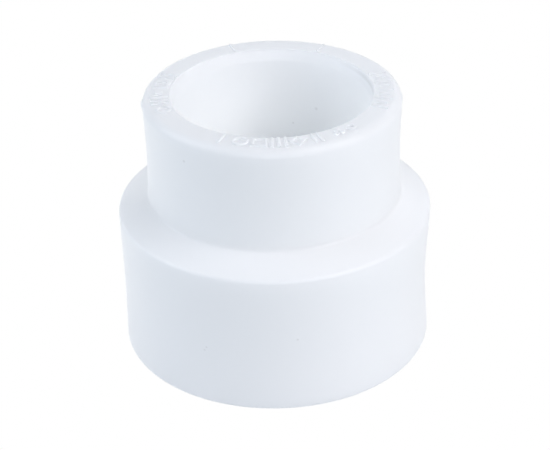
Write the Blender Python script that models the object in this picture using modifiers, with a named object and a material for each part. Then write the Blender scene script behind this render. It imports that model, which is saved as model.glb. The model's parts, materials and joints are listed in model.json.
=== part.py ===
"""Concentric reducer: a one-piece socket-fusion moulding for 40 mm and 32 mm plastic pipe.

Units are metres and +Z is up. The large socket opens downwards and its mouth face stands on
z = 0. The small socket opens upwards. The sockets, the cone between them and the waterway
share the Z axis, so the whole moulding is one closed outline turned about Z.
"""

import math
from collections import namedtuple

import bpy
from mathutils import Vector

# Overall form.
OVERALL_HEIGHT = 0.0438
LARGE_OUTER_RADIUS = 0.0256
SHOULDER_HEIGHT = 0.0239  # where the large wall ends and the cone starts
NECK_HEIGHT = 0.0265  # where the cone meets the small wall
SMALL_OUTER_RADIUS = 0.0207  # at the rim
NECK_OUTER_RADIUS = 0.02065  # at the foot of the small wall

# Fusion sockets: mouth radius, root radius and depth, for the pipe size in the name.
LARGE_MOUTH_RADIUS = 0.01965  # 40 mm pipe
LARGE_ROOT_RADIUS = 0.01945
LARGE_SOCKET_DEPTH = 0.0205
SMALL_MOUTH_RADIUS = 0.01565  # 32 mm pipe
SMALL_ROOT_RADIUS = 0.0155
SMALL_SOCKET_DEPTH = 0.0181

# Both mouths start with a short straight land and a tapered lead-in below it. The waterway
# joins the two pipe stops.
LEAD_IN_WIDTH = 0.0006
LEAD_IN_DEPTH = 0.0019
MOUTH_LAND = 0.0003
WATERWAY_RADIUS = 0.0128

# Corner roundings of the outline.
RIM_ROUND = 0.00145
NECK_ROUND = 0.0007
SHOULDER_ROUND = 0.0007
FOOT_ROUND = 0.0006
MOUTH_ROUND = 0.0001
LEAD_IN_ROUND = 0.0015
SOCKET_ROOT_ROUND = 0.0005
STOP_EDGE_ROUND = 0.0004

TURN_STEPS = 96
ARC_STEP = math.radians(30)  # the most that one chord of a rounded corner turns
MERGE_DISTANCE = 0.00001
SHARP_ANGLE = math.radians(35)

WHITE_PLASTIC = {
    "Base Color": (0.86, 0.89, 0.91, 1.0),
    "Roughness": 0.42,
    "Metallic": 0.0,
    "IOR": 1.49,
}

Corner = namedtuple("Corner", "radius height round")


def outline_corners():
    """The half section's corners: down the outside, in across the foot, and up the inside."""
    large_stop = LARGE_SOCKET_DEPTH
    small_stop = OVERALL_HEIGHT - SMALL_SOCKET_DEPTH
    return [
        Corner(SMALL_OUTER_RADIUS, OVERALL_HEIGHT, RIM_ROUND),
        Corner(NECK_OUTER_RADIUS, NECK_HEIGHT, NECK_ROUND),
        Corner(LARGE_OUTER_RADIUS, SHOULDER_HEIGHT, SHOULDER_ROUND),
        Corner(LARGE_OUTER_RADIUS, 0.0, FOOT_ROUND),
        Corner(LARGE_MOUTH_RADIUS + LEAD_IN_WIDTH, 0.0, MOUTH_ROUND),
        Corner(LARGE_MOUTH_RADIUS + LEAD_IN_WIDTH, MOUTH_LAND, MOUTH_ROUND),
        Corner(LARGE_MOUTH_RADIUS, LEAD_IN_DEPTH, LEAD_IN_ROUND),
        Corner(LARGE_ROOT_RADIUS, large_stop, SOCKET_ROOT_ROUND),
        Corner(WATERWAY_RADIUS, large_stop, STOP_EDGE_ROUND),
        Corner(WATERWAY_RADIUS, small_stop, STOP_EDGE_ROUND),
        Corner(SMALL_ROOT_RADIUS, small_stop, SOCKET_ROOT_ROUND),
        Corner(SMALL_MOUTH_RADIUS, OVERALL_HEIGHT - LEAD_IN_DEPTH, LEAD_IN_ROUND),
        Corner(SMALL_MOUTH_RADIUS + LEAD_IN_WIDTH, OVERALL_HEIGHT - MOUTH_LAND, MOUTH_ROUND),
        Corner(SMALL_MOUTH_RADIUS + LEAD_IN_WIDTH, OVERALL_HEIGHT, MOUTH_ROUND),
    ]


def rounded_corner(before, corner, after):
    """Points of the arc that rounds one corner, from the edge before it to the edge after it."""
    here = Vector((corner.radius, corner.height))
    back = (Vector((before.radius, before.height)) - here).normalized()
    ahead = (Vector((after.radius, after.height)) - here).normalized()
    half_angle = back.angle(ahead) / 2
    start = here + back * (corner.round / math.tan(half_angle))
    centre = here + (back + ahead).normalized() * (corner.round / math.sin(half_angle))
    turn = math.pi - 2 * half_angle
    chords = max(1, math.ceil(turn / ARC_STEP))
    sweep = math.copysign(turn / chords, back.cross(ahead) * -1)
    spoke = start - centre
    points = []
    for index in range(chords + 1):
        cosine, sine = math.cos(sweep * index), math.sin(sweep * index)
        turned = Vector((cosine * spoke.x - sine * spoke.y, sine * spoke.x + cosine * spoke.y))
        points.append(centre + turned)
    return points


def half_section():
    """The closed outline as points of radius and height, with every corner rounded."""
    corners = outline_corners()
    points = []
    for index, corner in enumerate(corners):
        points += rounded_corner(corners[index - 1], corner, corners[(index + 1) % len(corners)])
    return points


def plastic_material():
    material = bpy.data.materials.new("white_polypropylene")
    material.use_nodes = True
    shader = material.node_tree.nodes["Principled BSDF"]
    for socket, value in WHITE_PLASTIC.items():
        shader.inputs[socket].default_value = value
    material.diffuse_color = WHITE_PLASTIC["Base Color"]
    return material


def turned_body(name, section, collection):
    """A solid turned from a closed half section in the XZ plane."""
    profile = bpy.data.meshes.new(name + "_profile")
    vertices = [(point.x, 0.0, point.y) for point in section]
    edges = [(index, (index + 1) % len(vertices)) for index in range(len(vertices))]
    profile.from_pydata(vertices, edges, [])
    body = bpy.data.objects.new(name, profile)
    collection.objects.link(body)

    turn = body.modifiers.new("Turn", "SCREW")
    turn.axis = "Z"
    turn.angle = math.tau
    turn.steps = TURN_STEPS
    turn.render_steps = TURN_STEPS
    turn.use_merge_vertices = True
    turn.merge_threshold = MERGE_DISTANCE

    graph = bpy.context.evaluated_depsgraph_get()
    solid = bpy.data.meshes.new_from_object(body.evaluated_get(graph))
    solid.name = name
    body.modifiers.clear()
    body.data = solid
    bpy.data.meshes.remove(profile)
    solid.shade_smooth()
    solid.set_sharp_from_angle(angle=SHARP_ANGLE)
    return body


def main():
    for thing in list(bpy.data.objects):
        bpy.data.objects.remove(thing, do_unlink=True)
    collection = bpy.data.collections.new("concentric_reducer")
    bpy.context.scene.collection.children.link(collection)

    body = turned_body("reducer_body", half_section(), collection)
    body.data.materials.clear()
    body.data.materials.append(plastic_material())


main()
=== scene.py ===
import json
import math
from collections import namedtuple

import bmesh
import bpy
from mathutils import Matrix, Vector


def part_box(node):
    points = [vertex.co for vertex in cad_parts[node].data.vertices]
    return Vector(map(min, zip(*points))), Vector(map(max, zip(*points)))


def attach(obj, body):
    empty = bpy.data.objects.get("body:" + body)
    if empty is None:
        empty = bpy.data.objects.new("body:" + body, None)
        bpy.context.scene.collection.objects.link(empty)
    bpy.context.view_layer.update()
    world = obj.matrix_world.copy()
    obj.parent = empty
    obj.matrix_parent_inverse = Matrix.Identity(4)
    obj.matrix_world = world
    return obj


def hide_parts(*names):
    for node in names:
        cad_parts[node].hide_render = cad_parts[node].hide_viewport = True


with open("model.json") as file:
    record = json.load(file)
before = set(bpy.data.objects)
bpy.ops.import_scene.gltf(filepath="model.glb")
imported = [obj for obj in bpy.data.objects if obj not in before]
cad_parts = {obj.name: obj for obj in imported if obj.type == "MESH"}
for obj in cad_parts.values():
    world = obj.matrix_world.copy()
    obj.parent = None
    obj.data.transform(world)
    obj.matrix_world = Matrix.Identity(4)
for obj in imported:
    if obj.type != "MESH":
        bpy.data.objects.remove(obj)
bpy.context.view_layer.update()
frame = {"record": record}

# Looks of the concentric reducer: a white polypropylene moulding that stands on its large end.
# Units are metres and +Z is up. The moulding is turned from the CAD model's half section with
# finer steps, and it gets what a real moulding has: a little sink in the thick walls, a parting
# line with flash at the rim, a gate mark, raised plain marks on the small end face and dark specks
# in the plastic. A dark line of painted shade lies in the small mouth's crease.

MM = 0.001
BODY = "root"
NODE = "reducer_body"

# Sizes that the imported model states.
NODE_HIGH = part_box(NODE)[1]
HEIGHT = NODE_HIGH.z
LARGE_OUTER = NODE_HIGH.x
STOPS = {mount["name"]: mount["pos_m"][2] for mount in frame["record"]["mounts"]}
LARGE_STOP = STOPS["large_pipe_stop"]
SMALL_STOP = STOPS["small_pipe_stop"]

# The other sizes of the CAD half section, in metres.
SHOULDER_HEIGHT = 23.9 * MM
NECK_HEIGHT = 26.5 * MM
SMALL_OUTER = 20.7 * MM
NECK_OUTER = 20.65 * MM
LARGE_MOUTH = 19.65 * MM
LARGE_ROOT = 19.45 * MM
SMALL_MOUTH = 15.65 * MM
SMALL_ROOT = 15.5 * MM
LEAD_IN_WIDTH = 0.6 * MM
LEAD_IN_DEPTH = 1.9 * MM
MOUTH_LAND = 0.3 * MM
WATERWAY = 12.8 * MM

# Corner roundings of the half section.
RIM_ROUND = 1.45 * MM
NECK_ROUND = 0.7 * MM
SHOULDER_ROUND = 0.7 * MM
FOOT_ROUND = 0.6 * MM
MOUTH_ROUND = 0.1 * MM
LEAD_IN_ROUND = 1.5 * MM
SOCKET_ROOT_ROUND = 0.5 * MM
STOP_EDGE_ROUND = 0.4 * MM

# How finely the surface is divided, and how its mesh is cleaned.
TURN_STEPS = 240
PARTING_STEPS = 14  # closer steps on each side of a parting line
ARC_STEP = math.radians(8)
LONGEST_EDGE = 0.9 * MM
SHARP_ANGLE = math.radians(40)
MERGE_DISTANCE = 0.002 * MM
SLIVER = 0.0005 * MM

# Sink: how far the middle of each outer wall draws in, and between which heights.
LARGE_SINK = 0.36 * MM
LARGE_SINK_SPAN = (0.3 * MM, 22.5 * MM)
LARGE_SINK_UNEVEN = 0.55  # how much deeper it is on the +X side, as a share
SMALL_SINK = 0.20 * MM
SMALL_SINK_SPAN = (26.7 * MM, 43.0 * MM)
SINK_POWER = 1.3  # of the sine that shapes the sink: lower is flatter in the middle

# Parting lines, one on each side, each with a nib of flash near the rim.
PARTING_AZIMUTHS = (0.0, math.pi)
PARTING_PROUD = 0.035 * MM
PARTING_WIDTH = 0.09 * MM
FLASH_PROUD = {0.0: 0.24 * MM, math.pi: 0.42 * MM}
FLASH_HEIGHT = 41.9 * MM
FLASH_WIDTH = 0.22 * MM
FLASH_LENGTH = 0.60 * MM

# Sink, parting lines and flash are only on the outer walls: further out than a mouth by this
# much, higher than the foot by this much, and fading over this height below the rim.
WALL_INSET = 3 * MM
FOOT_CLEAR = 0.2 * MM
RIM_FADE = 0.6 * MM

# Raised marks on the small end face.
MARK_RADIUS = 17.98 * MM
MARK_PROUD = 0.30 * MM
MARK_BURIED = 0.15 * MM
MARK_EDGE = 0.16 * MM
MARK_EDGE_STEPS = 2
MARK_HEIGHT = 2.9 * MM
STROKE = 0.46 * MM
SQUARE_RADIUS = 1.75 * MM
LOZENGE_RADIUS = 1.5 * MM
BLOCK_SIDE = 1.3 * MM
RING_RADIUS = 1.3 * MM
SMALL_RING_RADIUS = 0.85 * MM
RING_SIDES = 28
STUD_RADIUS = 0.42 * MM
STUD_SPREAD = 0.62 * MM
STUD_SIDES = 18
SCALE_BARS = 9
SCALE_START = -22.0  # degrees
SCALE_PITCH = 5.0  # degrees
SCALE_SHORT = 0.6  # length of every second bar, as a share
TICK_WIDTH = 0.40 * MM
TICK_LENGTH = 2.7 * MM
TICK_AZIMUTHS = (62.8, 110.7, 244.3, 290.2, 293.4)  # degrees, where the mould's inserts end

# Gate mark on the back of the large wall.
GATE_AZIMUTH = math.radians(90)
GATE_HEIGHT = 12.5 * MM
GATE_RADIUS = 1.1 * MM
GATE_PROUD = 0.14 * MM
GATE_BURIED = 0.5 * MM
GATE_SIDES = 40

# The plastic: a faint mottle between two whites, a satin finish on a slightly uneven surface
# with a fine grain, and light scattered inside. Noise scales are in cells per metre.
PLASTIC_DULL = (0.953, 0.959, 0.970, 1.0)
PLASTIC_BRIGHT = (0.961, 0.967, 0.978, 1.0)
MOTTLE_SCALE = 55.0
MOTTLE_SPAN = (0.35, 0.65)
ROUGHNESS = (0.36, 0.46)
ROUGHNESS_SCALE = 320.0
ROUGHNESS_SPAN = (0.3, 0.7)
UNEVEN_SCALE = 420.0
GRAIN_SCALE = 2600.0
GRAIN_SHARE = 0.35
BUMP_STRENGTH = 0.35
BUMP_HEIGHT = 0.02 * MM
SCATTER_WEIGHT = 0.8
SCATTER_DISTANCE = 2.0 * MM

# Dirt in the plastic. Fine specks are scattered: a cell has one where its random number is
# above the limit.
# The colour of the specks, and also of the painted shade in the small mouth's crease.
DIRT_AND_SHADE = (0.30, 0.29, 0.27, 1.0)
FINE_SPECK_SCALE = 210.0
FINE_SPECK_LIMIT = 0.955
FINE_SPECK_FADE = (0.018, 0.040)  # in cells from its middle
FINE_SPECK_STRENGTH = 0.25

# Larger dark specks: azimuth in degrees, radius, height and size.
SPECKS = (
    (-131.5, 20.60 * MM, 39.7 * MM, 0.32 * MM),
    (-117.2, 25.25 * MM, 9.8 * MM, 0.26 * MM),
    (-116.4, 25.25 * MM, 10.4 * MM, 0.26 * MM),
    (-83.0, 25.25 * MM, 13.0 * MM, 0.26 * MM),
    (61.5, 15.57 * MM, 33.7 * MM, 0.38 * MM),
    (77.0, 15.55 * MM, 30.4 * MM, 0.26 * MM),
    (28.5, 16.20 * MM, 43.6 * MM, 0.26 * MM),
)
SPECK_CORE = 0.25  # the fully dark part of a speck, as a share of its size
SPECK_STRENGTH = 0.2

# Painted shade: a dark line painted along the small mouth's crease, on the one side of it where the
# crease lies in shade.
CREASE_SHADE_RADIUS = 16.12 * MM
CREASE_SHADE_WIDTH = 0.16 * MM
CREASE_SHADE_LOW = 42.0 * MM
CREASE_SHADE_AZIMUTH = math.radians(12)
CREASE_SHADE_REACH = (math.radians(36), math.radians(6))  # where it starts, and where it is full
CREASE_SHADE_STRENGTH = 0.18

# Camera.
CAMERA_ELEVATION = math.radians(30.24)
CAMERA_ROLL = math.radians(-1.39)
CAMERA_DISTANCE = 0.2756
CAMERA_TARGET = Vector((-0.00002, 0.0, 0.01911))
CAMERA_SENSOR = 36.0  # mm
CAMERA_LENS = 108.35  # mm

# Softboxes: name, azimuth and elevation in degrees, watts and colour.
SOFTBOXES = (
    ("key", 60, 43, 2.42, (1.02, 0.98, 0.98)),
    ("fill", -90, 30, 1.85, (0.95, 0.98, 1.04)),
    ("front", 5, 10, 1.04, (0.94, 0.97, 1.04)),
    ("back_right", 150, 30, 0.66, (0.94, 0.98, 1.05)),
    ("back_left", -150, 10, 0.45, (1.06, 0.98, 0.94)),
)
SOFTBOX_SIZE = 0.45
SOFTBOX_DISTANCE = 0.6

# The floor and the surround look white, whatever light they give the object.
FLOOR_HALF_SIZE = 3.0
FLOOR_SEEN = (1.0, 1.0, 1.0, 1.0)
FLOOR_LIGHT_UNDER = (1.13, 1.21, 1.24, 1.0)
FLOOR_LIGHT_NEAR = (0.725, 0.765, 0.825, 1.0)
FLOOR_LIGHT_BEHIND = (1.80, 1.80, 1.82, 1.0)
FLOOR_LIGHT_OPEN = (1.03, 1.10, 1.15, 1.0)
FLOOR_BEHIND = (-0.34, 0.94, 0.0)  # the side of the floor that glows more, as a direction
FLOOR_BEHIND_SPAN = (18 * MM, 45 * MM)  # how far out on that side the glow grows
FLOOR_OPEN_SPAN = (70 * MM, 110 * MM)  # radii between which near and behind turn into open
FLOOR_END_SPAN = (190 * MM, 210 * MM)  # radii between which the floor's own light ends
WORLD_SEEN = (0.96, 0.96, 0.96, 1.0)
WORLD_LIGHT = (0.03, 0.07, 0.11, 1.0)

Corner = namedtuple("Corner", "radius height round")


# ---------------------------------------------------------------- making objects

def placed_object(name, data):
    """A new object, linked to the scene."""
    thing = bpy.data.objects.new(name, data)
    bpy.context.scene.collection.objects.link(thing)
    return thing


def mesh_from(shape, name):
    """A mesh of what the bmesh holds. The bmesh is freed."""
    mesh = bpy.data.meshes.new(name)
    shape.to_mesh(mesh)
    shape.free()
    return mesh


def evaluated_mesh(thing):
    """A mesh of what an object's curve settings or modifiers make."""
    graph = bpy.context.evaluated_depsgraph_get()
    return bpy.data.meshes.new_from_object(thing.evaluated_get(graph))


# ---------------------------------------------------------------- the moulding

def outline_corners():
    """The half section's corners: down the outside, in across the foot, and up the inside."""
    return [
        Corner(SMALL_OUTER, HEIGHT, RIM_ROUND),
        Corner(NECK_OUTER, NECK_HEIGHT, NECK_ROUND),
        Corner(LARGE_OUTER, SHOULDER_HEIGHT, SHOULDER_ROUND),
        Corner(LARGE_OUTER, 0.0, FOOT_ROUND),
        Corner(LARGE_MOUTH + LEAD_IN_WIDTH, 0.0, MOUTH_ROUND),
        Corner(LARGE_MOUTH + LEAD_IN_WIDTH, MOUTH_LAND, MOUTH_ROUND),
        Corner(LARGE_MOUTH, LEAD_IN_DEPTH, LEAD_IN_ROUND),
        Corner(LARGE_ROOT, LARGE_STOP, SOCKET_ROOT_ROUND),
        Corner(WATERWAY, LARGE_STOP, STOP_EDGE_ROUND),
        Corner(WATERWAY, SMALL_STOP, STOP_EDGE_ROUND),
        Corner(SMALL_ROOT, SMALL_STOP, SOCKET_ROOT_ROUND),
        Corner(SMALL_MOUTH, HEIGHT - LEAD_IN_DEPTH, LEAD_IN_ROUND),
        Corner(SMALL_MOUTH + LEAD_IN_WIDTH, HEIGHT - MOUTH_LAND, MOUTH_ROUND),
        Corner(SMALL_MOUTH + LEAD_IN_WIDTH, HEIGHT, MOUTH_ROUND),
    ]


def rounded_corner(before, corner, after):
    """Points of the arc that rounds one corner, from the edge before it to the edge after it."""
    here = Vector((corner.radius, corner.height))
    back = (Vector((before.radius, before.height)) - here).normalized()
    ahead = (Vector((after.radius, after.height)) - here).normalized()
    half_angle = back.angle(ahead) / 2
    start = here + back * (corner.round / math.tan(half_angle))
    centre = here + (back + ahead).normalized() * (corner.round / math.sin(half_angle))
    turn = math.pi - 2 * half_angle
    chords = max(1, math.ceil(turn / ARC_STEP))
    sweep = math.copysign(turn / chords, -back.cross(ahead))
    spoke = start - centre
    return [centre + Matrix.Rotation(sweep * index, 2) @ spoke for index in range(chords + 1)]


def half_section():
    """The closed outline with rounded corners, and its long edges divided."""
    corners = outline_corners()
    points = []
    for index, corner in enumerate(corners):
        points += rounded_corner(corners[index - 1], corner, corners[(index + 1) % len(corners)])
    divided = []
    for index, point in enumerate(points):
        following = points[(index + 1) % len(points)]
        pieces = max(1, math.ceil((following - point).length / LONGEST_EDGE))
        divided += [point.lerp(following, part / pieces) for part in range(pieces)]
    return divided


def azimuths():
    """Even steps round the axis, with closer ones beside each parting line."""
    angles = {index * math.tau / TURN_STEPS for index in range(TURN_STEPS)}
    close = PARTING_WIDTH / SMALL_OUTER / 2
    for parting in PARTING_AZIMUTHS:
        for step in range(-PARTING_STEPS, PARTING_STEPS + 1):
            growth = 1 + abs(step) / PARTING_STEPS
            angles.add((parting + step * close * growth) % math.tau)
    ordered = sorted(angles)
    least = close / 3
    kept = [ordered[0]]
    for angle in ordered[1:]:
        if angle - kept[-1] > least and math.tau - angle > least:
            kept.append(angle)
    return kept


def hump(value, centre, width):
    """A smooth hump, 1 at centre and nearly 0 past twice the width."""
    return math.exp(-(((value - centre) / width) ** 2))


def dip(value, span):
    """A smooth dip, 0 outside span and 1 in its middle."""
    share = (value - span[0]) / (span[1] - span[0])
    return math.sin(math.pi * share) ** SINK_POWER if 0 < share < 1 else 0.0


def outer_wall_share(radius, height):
    """1 on the outer walls, 0 on the end faces and inside."""
    mouth = LARGE_MOUTH if height < LARGE_STOP else SMALL_MOUTH
    if radius < mouth + WALL_INSET or height < FOOT_CLEAR:
        return 0.0
    return min(1.0, (HEIGHT - height) / RIM_FADE)


def relief(radius, height, azimuth):
    """How far the moulding stands out from its plain turned form at one place."""
    share = outer_wall_share(radius, height)
    if share == 0.0:
        return 0.0
    uneven = 1 + LARGE_SINK_UNEVEN * math.cos(azimuth)
    proud = -LARGE_SINK * dip(height, LARGE_SINK_SPAN) * uneven
    proud -= SMALL_SINK * dip(height, SMALL_SINK_SPAN)
    flash_share = hump(height, FLASH_HEIGHT, FLASH_LENGTH)
    for parting in PARTING_AZIMUTHS:
        turn = (azimuth - parting + math.pi) % math.tau - math.pi
        aside = abs(turn) * radius
        proud += PARTING_PROUD * hump(aside, 0.0, PARTING_WIDTH)
        proud += FLASH_PROUD[parting] * hump(aside, 0.0, FLASH_WIDTH) * flash_share
    return proud * share


def moulding_mesh():
    """The turned moulding with its sink, parting line and flash."""
    section = half_section()
    shape = bmesh.new()
    rings = []
    for angle in azimuths():
        ring = []
        for point in section:
            radius = point.x + relief(point.x, point.y, angle)
            place = (radius * math.cos(angle), radius * math.sin(angle), point.y)
            ring.append(shape.verts.new(place))
        rings.append(ring)
    count = len(section)
    for index, ring in enumerate(rings):
        following = rings[(index + 1) % len(rings)]
        for row in range(count):
            below = (row + 1) % count
            shape.faces.new((ring[row], ring[below], following[below], following[row]))
    bmesh.ops.recalc_face_normals(shape, faces=shape.faces)
    return mesh_from(shape, "reducer_moulding")


# ---------------------------------------------------------------- raised marks
# A mark is a list of flat closed loops. A loop inside another one is a hole.

def polygon_loop(across, along, radius, sides, turn=0.0):
    step = math.tau / sides
    return [
        (
            across + radius * math.cos(turn + step * index),
            along + radius * math.sin(turn + step * index),
        )
        for index in range(sides)
    ]


def bar(across, width, length):
    left, right = across - width / 2, across + width / 2
    low, high = -length / 2, length / 2
    return [[(left, low), (right, low), (right, high), (left, high)]]


def bars(count, pitch):
    first = -pitch * (count - 1) / 2
    loops = []
    for index in range(count):
        loops += bar(first + pitch * index, STROKE, MARK_HEIGHT)
    return loops


def square_frame(turn, radius):
    """A square outline with its corners at radius."""
    inner = radius - STROKE / math.cos(math.pi / 4)
    return [polygon_loop(0, 0, radius, 4, turn), polygon_loop(0, 0, inner, 4, turn)]


def ring_mark(radius):
    inner = radius - STROKE
    return [polygon_loop(0, 0, radius, RING_SIDES), polygon_loop(0, 0, inner, RING_SIDES)]


def stud_trio():
    centres = polygon_loop(0, 0, STUD_SPREAD, 3, math.pi / 2)
    return [polygon_loop(x, y, STUD_RADIUS, STUD_SIDES) for x, y in centres]


def block_mark():
    return [polygon_loop(0, 0, BLOCK_SIDE / math.sqrt(2), 4, math.pi / 4)]


def rim_marks():
    """(azimuth in degrees, loops) of every raised mark on the small end face."""
    square = square_frame(math.pi / 4, SQUARE_RADIUS)
    lozenge = square_frame(0.0, LOZENGE_RADIUS)
    ring = ring_mark(RING_RADIUS)
    marks = [
        # left group
        (159.5, bars(2, 1.2 * MM)), (170.0, square), (179.5, block_mark()),
        (188.5, bars(3, 1.1 * MM)), (199.5, ring),
        # front group
        (254.0, ring), (263.5, square), (272.8, bars(3, 1.05 * MM)), (282.0, lozenge),
        # the small group beside it
        (303.5, stud_trio()), (311.5, ring_mark(SMALL_RING_RADIUS)),
    ]
    # the right group is a plain graduation of long and short bars
    for index in range(SCALE_BARS):
        length = MARK_HEIGHT if index % 2 == 0 else SCALE_SHORT * MARK_HEIGHT
        marks.append((SCALE_START + SCALE_PITCH * index, bar(0.0, STROKE, length)))
    for azimuth in TICK_AZIMUTHS:
        marks.append((azimuth, bar(0.0, TICK_WIDTH, TICK_LENGTH)))
    return marks


def relief_from_loops(name, loops, proud, buried):
    """A closed solid of the given loops with round edges, from buried below 0 to proud above."""
    curve = bpy.data.curves.new(name, "CURVE")
    curve.dimensions = "2D"
    curve.fill_mode = "BOTH"
    curve.extrude = (proud + buried) / 2 - MARK_EDGE
    curve.bevel_depth = MARK_EDGE
    curve.bevel_resolution = MARK_EDGE_STEPS
    curve.offset = -MARK_EDGE
    for loop in loops:
        spline = curve.splines.new("POLY")
        spline.points.add(len(loop) - 1)
        for point, (across, along) in zip(spline.points, loop):
            point.co = (across, along, 0.0, 1.0)
        spline.use_cyclic_u = True
    thing = placed_object(name, curve)
    mesh = evaluated_mesh(thing)
    bpy.data.objects.remove(thing)
    bpy.data.curves.remove(curve)
    mesh.transform(Matrix.Translation((0.0, 0.0, (proud - buried) / 2)))
    return mesh


def bent_round_rim(point, azimuth):
    """A mark's flat point, laid round the rim at its azimuth with its top towards the axis."""
    angle = math.radians(azimuth) - point.x / MARK_RADIUS
    radius = MARK_RADIUS - point.y
    return Vector((radius * math.cos(angle), radius * math.sin(angle), HEIGHT + point.z))


def rim_mark_mesh(azimuth, loops):
    """One raised mark, bent round the rim."""
    mesh = relief_from_loops("mark", loops, MARK_PROUD, MARK_BURIED)
    for vertex in mesh.vertices:
        vertex.co = bent_round_rim(vertex.co, azimuth)
    return mesh


def gate_mesh():
    """The gate mark: a low round stud on the large wall."""
    disc = [polygon_loop(0, 0, GATE_RADIUS, GATE_SIDES)]
    mesh = relief_from_loops("gate", disc, GATE_PROUD, GATE_BURIED)
    mesh.transform(Matrix.Translation((0, 0, LARGE_OUTER - LARGE_SINK)))
    mesh.transform(Matrix.Rotation(GATE_AZIMUTH, 4, "Z") @ Matrix.Rotation(math.pi / 2, 4, "Y"))
    mesh.transform(Matrix.Translation((0, 0, GATE_HEIGHT)))
    return mesh


def marks_object():
    """All raised marks and the gate mark as one object of separate closed solids."""
    meshes = [rim_mark_mesh(azimuth, loops) for azimuth, loops in rim_marks()]
    meshes.append(gate_mesh())
    shape = bmesh.new()
    for mesh in meshes:
        shape.from_mesh(mesh)
        bpy.data.meshes.remove(mesh)
    bmesh.ops.remove_doubles(shape, verts=shape.verts, dist=MERGE_DISTANCE)
    bmesh.ops.recalc_face_normals(shape, faces=shape.faces)
    return placed_object("raised_marks", mesh_from(shape, "raised_marks"))


def clear_slivers(mesh):
    """Takes out the slivers without area that the union leaves."""
    shape = bmesh.new()
    shape.from_mesh(mesh)
    bmesh.ops.dissolve_degenerate(shape, edges=shape.edges, dist=SLIVER)
    bmesh.ops.remove_doubles(shape, verts=shape.verts, dist=SLIVER)
    shape.to_mesh(mesh)
    shape.free()


def build_moulding():
    """The whole moulding as one closed mesh."""
    turned = moulding_mesh()
    moulding = placed_object("reducer_moulding", turned)
    marks = marks_object()
    union = moulding.modifiers.new("Marks", "BOOLEAN")
    union.operation = "UNION"
    union.solver = "EXACT"
    union.object = marks
    joined = evaluated_mesh(moulding)
    moulding.modifiers.clear()
    moulding.data = joined
    bpy.data.objects.remove(marks)
    bpy.data.meshes.remove(turned)
    joined.name = "reducer_moulding"
    clear_slivers(joined)
    joined.shade_smooth()
    joined.set_sharp_from_angle(angle=SHARP_ANGLE)
    weighted = moulding.modifiers.new("Normals", "WEIGHTED_NORMAL")
    weighted.keep_sharp = True
    joined.materials.clear()
    joined.materials.append(polypropylene())
    return moulding


# ---------------------------------------------------------------- material

class Nodes:
    """Short ways to add and link shader nodes in one material or world."""

    def __init__(self, owner):
        owner.use_nodes = True
        self.tree = owner.node_tree
        self.tree.nodes.clear()

    def add(self, kind, inputs=None, **settings):
        node = self.tree.nodes.new("ShaderNode" + kind)
        for name, value in settings.items():
            setattr(node, name, value)
        for name, value in (inputs or {}).items():
            self.put(node.inputs[name], value)
        return node

    def put(self, socket, value):
        if isinstance(value, bpy.types.NodeSocket):
            self.tree.links.new(value, socket)
        else:
            socket.default_value = value

    def math(self, operation, first, second=0.0):
        return self.add("Math", {0: first, 1: second}, operation=operation).outputs[0]

    def length(self, vector):
        return self.add("VectorMath", {0: vector}, operation="LENGTH").outputs["Value"]

    def measure(self, operation, first, second):
        """The one number that a dot product or a distance gives."""
        node = self.add("VectorMath", {0: first, 1: second}, operation=operation)
        return node.outputs["Value"]

    def noise(self, place, scale, detail=2.0, roughness=0.5):
        node = self.add("TexNoise", {"Vector": place, "Scale": scale, "Detail": detail,
                                     "Roughness": roughness})
        return node.outputs["Fac"]

    def scaled(self, value, low, high, to_low, to_high):
        node = self.add("MapRange", {"Value": value, "From Min": low, "From Max": high,
                                     "To Min": to_low, "To Max": to_high}, clamp=True)
        return node.outputs["Result"]

    def mix(self, share, first, second):
        node = self.add("Mix", data_type="RGBA")
        self.put(node.inputs["Factor"], share)
        self.put(node.inputs["A"], first)
        self.put(node.inputs["B"], second)
        return node.outputs["Result"]


def fine_specks(nodes, place):
    """Strength of the scattered fine specks."""
    cells = nodes.add("TexVoronoi", {"Vector": place, "Scale": FINE_SPECK_SCALE, "Randomness": 1.0})
    draw = nodes.add("SeparateColor", {"Color": cells.outputs["Color"]}).outputs[0]
    chosen = nodes.math("GREATER_THAN", draw, FINE_SPECK_LIMIT)
    near = nodes.scaled(cells.outputs["Distance"], *FINE_SPECK_FADE, 1.0, 0.0)
    return nodes.math("MULTIPLY", nodes.math("MULTIPLY", chosen, near), FINE_SPECK_STRENGTH)


def larger_speck(nodes, place, azimuth, radius, height, size):
    """Strength of one of the larger specks."""
    turn = math.radians(azimuth)
    centre = (radius * math.cos(turn), radius * math.sin(turn), height)
    away = nodes.measure("DISTANCE", place, centre)
    return nodes.scaled(away, size * SPECK_CORE, size, SPECK_STRENGTH, 0.0)


def mouth_crease_shade(nodes, place):
    """Strength of the painted shade: a dark line in the small mouth's crease."""
    parts = nodes.add("SeparateXYZ", {"Vector": place}).outputs
    flat = nodes.add("CombineXYZ", {"X": parts["X"], "Y": parts["Y"]}).outputs["Vector"]
    off_crease = nodes.math("ABSOLUTE", nodes.math("SUBTRACT", nodes.length(flat), CREASE_SHADE_RADIUS))
    crease = nodes.scaled(off_crease, CREASE_SHADE_WIDTH / 3, CREASE_SHADE_WIDTH, 1.0, 0.0)
    towards = (math.cos(CREASE_SHADE_AZIMUTH), math.sin(CREASE_SHADE_AZIMUTH), 0.0)
    along = nodes.measure("DOT_PRODUCT", flat, towards)
    start, full = (CREASE_SHADE_RADIUS * math.cos(reach) for reach in CREASE_SHADE_REACH)
    side = nodes.scaled(along, start, full, 0.0, 1.0)
    high = nodes.scaled(parts["Z"], CREASE_SHADE_LOW, CREASE_SHADE_LOW + CREASE_SHADE_WIDTH, 0.0, 1.0)
    share = nodes.math("MULTIPLY", nodes.math("MULTIPLY", crease, side), high)
    return nodes.math("MULTIPLY", share, CREASE_SHADE_STRENGTH)


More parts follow.
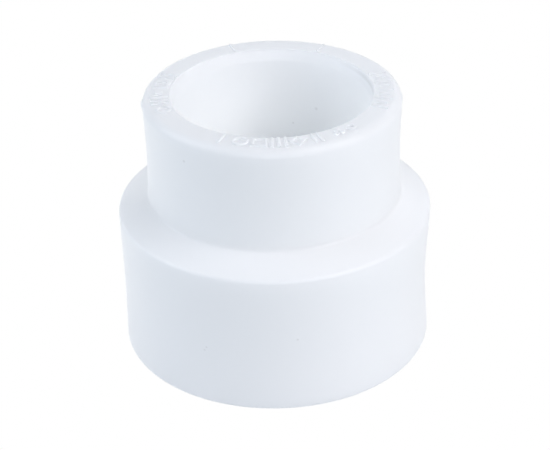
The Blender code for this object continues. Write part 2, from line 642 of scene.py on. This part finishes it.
def plastic_colour(nodes, place):
    """Faintly mottled white with specks, and painted shade in the small mouth's crease."""
    mottle = nodes.scaled(nodes.noise(place, MOTTLE_SCALE), *MOTTLE_SPAN, 0.0, 1.0)
    base = nodes.mix(mottle, PLASTIC_DULL, PLASTIC_BRIGHT)
    dark = fine_specks(nodes, place)
    for speck in SPECKS:
        dark = nodes.math("MAXIMUM", dark, larger_speck(nodes, place, *speck))
    # painted shade: a dark line in the small mouth's crease, taken with the specks
    dark = nodes.math("MAXIMUM", dark, mouth_crease_shade(nodes, place))
    return nodes.mix(dark, base, DIRT_AND_SHADE)


def plastic_normal(nodes, place):
    """A fine grain on a slightly uneven surface."""
    grain = nodes.noise(place, GRAIN_SCALE, roughness=0.6)
    uneven = nodes.noise(place, UNEVEN_SCALE)
    height = nodes.math("ADD", nodes.math("MULTIPLY", grain, GRAIN_SHARE), uneven)
    bump = nodes.add("Bump", {"Strength": BUMP_STRENGTH, "Distance": BUMP_HEIGHT, "Height": height})
    return bump.outputs["Normal"]


def polypropylene():
    """White polypropylene with a satin finish, slightly translucent."""
    material = bpy.data.materials.new("white_polypropylene_moulded")
    nodes = Nodes(material)
    place = nodes.add("TexCoord").outputs["Object"]
    gloss = nodes.noise(place, ROUGHNESS_SCALE, detail=4.0)
    shader = nodes.add("BsdfPrincipled", {
        "Base Color": plastic_colour(nodes, place),
        "Roughness": nodes.scaled(gloss, *ROUGHNESS_SPAN, *ROUGHNESS),
        "Normal": plastic_normal(nodes, place),
        "IOR": 1.49,
        "Subsurface Weight": SCATTER_WEIGHT,
        "Subsurface Radius": (1.0, 1.0, 1.0),
        "Subsurface Scale": SCATTER_DISTANCE,
    })
    nodes.add("OutputMaterial", {"Surface": shader.outputs["BSDF"]})
    return material


# ---------------------------------------------------------------- stage

def softbox(name, azimuth, elevation, watts, colour):
    """A square softbox that faces the object. Azimuth 0 is the camera's side, 90 is +X."""
    light = bpy.data.lights.new(name, "AREA")
    light.shape = "SQUARE"
    light.size = SOFTBOX_SIZE
    light.energy = watts
    light.color = colour
    turn, lift = math.radians(azimuth), math.radians(elevation)
    level = math.cos(lift)
    out = Vector((math.sin(turn) * level, -math.cos(turn) * level, math.sin(lift)))
    thing = placed_object(name, light)
    thing.location = Vector((0, 0, HEIGHT / 2)) + out * SOFTBOX_DISTANCE
    thing.rotation_euler = out.to_track_quat("Z", "Y").to_euler()


def studio_colour(nodes, seen, lit):
    """seen where the camera sees it directly or mirrored in the plastic, lit for its light."""
    path = nodes.add("LightPath").outputs
    in_sight = nodes.math("MAXIMUM", path["Is Camera Ray"], path["Is Glossy Ray"])
    return nodes.mix(in_sight, lit, seen)


def floor_light(nodes):
    """The light that the floor gives, by how far out it is and by how far behind the object."""
    place = nodes.add("TexCoord").outputs["Object"]
    reach = nodes.length(place)
    behind = nodes.measure("DOT_PRODUCT", place, FLOOR_BEHIND)
    near = nodes.mix(nodes.scaled(behind, *FLOOR_BEHIND_SPAN, 0.0, 1.0),
                     FLOOR_LIGHT_NEAR, FLOOR_LIGHT_BEHIND)
    pool = nodes.mix(nodes.scaled(reach, LARGE_MOUTH, LARGE_OUTER, 0.0, 1.0),
                     FLOOR_LIGHT_UNDER, near)
    pool = nodes.mix(nodes.scaled(reach, *FLOOR_OPEN_SPAN, 0.0, 1.0), pool, FLOOR_LIGHT_OPEN)
    return nodes.mix(nodes.scaled(reach, *FLOOR_END_SPAN, 0.0, 1.0), pool, WORLD_LIGHT)


def build_floor():
    """A white floor that glows, so it shows no shadow."""
    shape = bmesh.new()
    bmesh.ops.create_grid(shape, x_segments=1, y_segments=1, size=FLOOR_HALF_SIZE)
    floor = placed_object("floor", mesh_from(shape, "floor"))
    material = bpy.data.materials.new("pale_floor")
    nodes = Nodes(material)
    colour = studio_colour(nodes, FLOOR_SEEN, floor_light(nodes))
    glow = nodes.add("Emission", {"Color": colour, "Strength": 1.0})
    nodes.add("OutputMaterial", {"Surface": glow.outputs["Emission"]})
    floor.data.materials.append(material)


def build_world():
    """A pale surround past the floor's edge, which lights the object hardly at all."""
    world = bpy.data.worlds.new("studio")
    nodes = Nodes(world)
    background = nodes.add("Background", {"Color": studio_colour(nodes, WORLD_SEEN, WORLD_LIGHT)})
    nodes.add("OutputWorld", {"Surface": background.outputs["Background"]})
    bpy.context.scene.world = world


def build_camera():
    camera = bpy.data.cameras.new("camera")
    camera.lens = CAMERA_LENS
    camera.sensor_width = CAMERA_SENSOR
    camera.clip_start = 0.01
    camera.clip_end = 20.0
    thing = placed_object("camera", camera)
    back = Vector((0.0, -math.cos(CAMERA_ELEVATION), math.sin(CAMERA_ELEVATION)))
    level = back.to_track_quat("Z", "Y")
    roll = Matrix.Rotation(CAMERA_ROLL, 4, "Z").to_quaternion()
    thing.rotation_mode = "QUATERNION"
    thing.rotation_quaternion = level @ roll
    thing.location = CAMERA_TARGET + back * CAMERA_DISTANCE
    bpy.context.scene.camera = thing


def main():
    bpy.context.scene.view_settings.view_transform = "Standard"
    moulding = build_moulding()
    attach(moulding, BODY)
    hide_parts(NODE)

    build_world()
    build_floor()
    for settings in SOFTBOXES:
        softbox(*settings)
    build_camera()


main()
